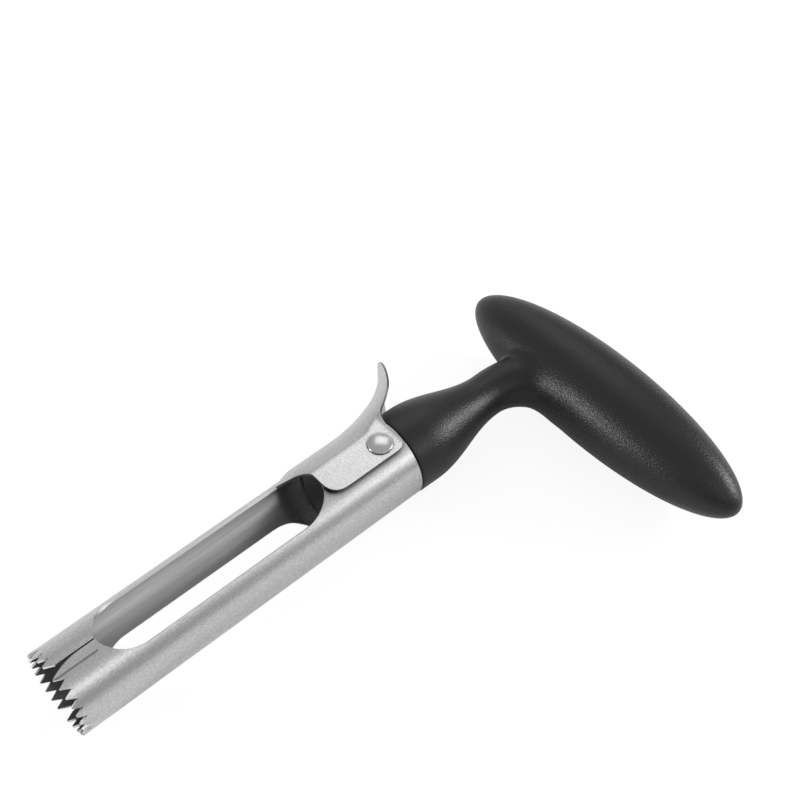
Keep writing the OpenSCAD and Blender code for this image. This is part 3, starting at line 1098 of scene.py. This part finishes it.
    def build(self) -> bpy.types.Object:
        """Joins the inside, the rounded lip at the collar and the outside into one closed skin.

        Returns:
            The finished piece.
        """
        a = np.linspace(0, np.pi / 2, self.lip_rows)
        neck_x = np.linspace(self.start + self.front_round, self.waist_x, self.neck_rows)
        outside = self.stem_and_bar(0.0, neck_x)
        inside = self.stem_and_bar(self.skin, np.linspace(self.start, self.waist_x, self.neck_rows))
        v = np.linspace(0, 2 * np.pi, self.columns, endpoint=False)
        lip_r = self.neck_r - self.front_round * (1 - np.sin(a[:-1, None]))
        lip_x = self.start + self.front_round * (1 - np.cos(a[:-1, None]))
        lip = np.stack([lip_x + 0 * v, lip_r * np.cos(v) - self.front_drop, lip_r * np.sin(v)], -1)
        rings = np.concatenate([inside[::-1], lip, outside])
        centre, half, pole = (np.array(k) for k in (self.bar_centre, self.bar_half, self.far_pole()))
        poles = np.stack([self.onto((centre + pole * (half - self.skin))[None], -self.skin)[0],
                          centre + pole * half])
        piece = new_piece("moulded_soft_grip", np.concatenate([rings.reshape(-1, 3), poles]),
                          closed_faces(len(rings), self.columns))
        piece.data.materials.append(SOFT_RUBBER.material())
        piece.data.set_sharp_from_angle(angle=np.radians(self.sharp_deg))
        return piece


@dataclass(frozen=True)
class SoftBox:
    """A soft area light that looks at the tool from an azimuth and an elevation.

    Its level is the radiance of its face, 1 being white.
    """

    name: str
    azimuth: float
    elevation: float
    level: float
    width: float = 0.5
    height: float = 0.5
    roll: float = 0.0
    distance: float = 0.75

    def place(self, target: Vector) -> None:
        """Hangs the light at its distance from the target and turns it there.

        Args:
            target: the place that it looks at, in metres.
        """
        data = bpy.data.lights.new(self.name, "AREA")
        data.shape = "RECTANGLE"
        data.size, data.size_y = self.width, self.height
        data.energy = self.level * np.pi * self.width * self.height
        light = bpy.data.objects.new(self.name, data)
        way = direction(self.azimuth, self.elevation)
        light.location = target + way * self.distance
        light.rotation_mode = "QUATERNION"
        rolled = Quaternion((0, 0, 1), np.radians(self.roll))
        light.rotation_quaternion = way.to_track_quat("Z", "Y") @ rolled
        bpy.context.scene.collection.objects.link(light)


def direction(azimuth: float, elevation: float) -> Vector:
    """Unit vector to a viewer: azimuth 0 stands on the -Y side, 90 on the +X side."""
    turn, rise = np.radians(azimuth), np.radians(elevation)
    return Vector((np.cos(rise) * np.sin(turn), -np.cos(rise) * np.cos(turn), np.sin(rise)))


@dataclass(frozen=True)
class Studio:
    """Pale floor, soft light and the camera at the photograph's place."""

    target: tuple[float, float, float] = (123.72, 13.45, 0.0)
    azimuth: float = 318.6
    elevation: float = 51.5
    distance: float = 413.95
    lens: float = 65.92
    sensor: float = 36.0
    floor_z: float = -13.85
    floor_half: float = 1500.0
    floor_colour: str = "f2f2f2"
    floor_glow: float = 1.05
    seen_share: float = 0.86
    mirrored_share: float = 0.1
    sky_heights: tuple[float, float] = (0.05, 0.75)
    sky_levels: tuple[float, float] = (0.3, 0.62)
    boxes: tuple[SoftBox, ...] = (
        SoftBox("top_box", 134.0, 48.0, 1.3, 0.42, 0.42),
        SoftBox("tooth_strip", -6.0, 43.0, 2.4, 0.24, 0.17, -27.0),
        SoftBox("collar_strip", 37.0, 25.5, 2.0, 0.5, 0.17, -27.0),
        SoftBox("back_box", 160.0, 10.0, 0.45, 0.9, 0.4),
        SoftBox("bar_box", 246.0, 12.0, 27.0, 0.22, 0.22),
        SoftBox("neck_box", 58.0, 22.0, 26.0, 0.3, 0.16),
    )

    def build(self) -> None:
        """Makes the floor, the world, the lights and the camera."""
        target = Vector(self.target) * MM
        self.floor()
        self.world()
        for box in self.boxes:
            box.place(target)
        data = bpy.data.cameras.new("photo_camera")
        data.lens, data.sensor_width = self.lens, self.sensor
        camera = bpy.data.objects.new("photo_camera", data)
        way = direction(self.azimuth, self.elevation)
        camera.location = target + way * self.distance * MM
        camera.rotation_mode = "QUATERNION"
        camera.rotation_quaternion = way.to_track_quat("Z", "Y")
        bpy.context.scene.collection.objects.link(camera)
        bpy.context.scene.camera = camera
        bpy.context.scene.view_settings.view_transform = "Standard"

    def floor(self) -> None:
        """Lays a pale floor: nearly white to the camera, and with the tool's soft shadow."""
        h, z = self.floor_half, self.floor_z
        corners = np.array([[-h, -h, z], [h, -h, z], [h, h, z], [-h, h, z]])
        floor = new_piece("studio_floor", corners, [[0, 1, 2, 3]])
        made = bpy.data.materials.new("matt_white_paper")
        tree = clear_tree(made)
        path = add_node(tree, "ShaderNodeLightPath").outputs
        mirrored = add_node(tree, "ShaderNodeMath", operation="MAXIMUM", links={
            0: path["Is Glossy Ray"], 1: path["Is Transmission Ray"]}).outputs[0]
        share = add_node(tree, "ShaderNodeMath", {1: self.mirrored_share}, {0: mirrored},
                         operation="MULTIPLY").outputs[0]
        glowing = add_node(tree, "ShaderNodeMath", {1: self.seen_share},
                           {0: path["Is Camera Ray"], 2: share}, operation="MULTIPLY_ADD").outputs[0]
        lit = add_node(tree, "ShaderNodeBsdfDiffuse", {"Color": linear_colour(self.floor_colour)})
        glow = add_node(tree, "ShaderNodeEmission", {"Strength": self.floor_glow})
        both = add_node(tree, "ShaderNodeMixShader",
                        links={0: glowing, 1: lit.outputs[0], 2: glow.outputs[0]})
        add_node(tree, "ShaderNodeOutputMaterial", links={"Surface": both.outputs[0]})
        floor.data.materials.append(made)

    def world(self) -> None:
        """Surrounds the tool with a soft sky, dim at the horizon, that the camera sees white."""
        made = bpy.data.worlds.new("studio_sky")
        bpy.context.scene.world = made
        tree = clear_tree(made)
        place = add_node(tree, "ShaderNodeTexCoord").outputs["Generated"]
        height = add_node(tree, "ShaderNodeSeparateXYZ", links={0: place}).outputs["Z"]
        (low, high), (dim, bright) = self.sky_heights, self.sky_levels
        level = add_node(tree, "ShaderNodeMapRange",
                         {"From Min": low, "From Max": high, "To Min": dim, "To Max": bright},
                         {"Value": height}).outputs["Result"]
        camera = add_node(tree, "ShaderNodeLightPath").outputs["Is Camera Ray"]
        strength = add_node(tree, "ShaderNodeMath", links={0: level, 1: camera},
                            operation="MAXIMUM").outputs[0]
        sky = add_node(tree, "ShaderNodeBackground", {"Color": linear_colour("ffffff")},
                       {"Strength": strength})
        add_node(tree, "ShaderNodeOutputWorld", links={"Surface": sky.outputs[0]})


def dress(piece: bpy.types.Object, body: Body, node: str) -> None:
    """Ties a piece to its body and hides the node that it stands for.

    Args:
        piece: the finished piece.
        body: the body that it rides on.
        node: the CAD node that it replaces.
    """
    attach(piece, body.value)
    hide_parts(node)
    log.info("%s: %d faces, rides on %s", piece.name, len(piece.data.polygons), body.value)


def main() -> None:
    """Builds and dresses every piece, then sets up the studio."""
    logging.basicConfig(level=logging.INFO)
    Studio().build()
    dress(FixedHalf().build(), Body.TOOL, "fixed_blade")
    dress(HingedHalf().build(), Body.HINGED, "hinged_blade")
    dress(PivotRivet().build(), Body.TOOL, "pivot_rivet")
    dress(SoftGrip().build(), Body.TOOL, "soft_grip")
    core = MOULDED_CORE.material()
    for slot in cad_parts["handle_core"].material_slots:
        slot.material = core


if __name__ == "__main__":
    main()
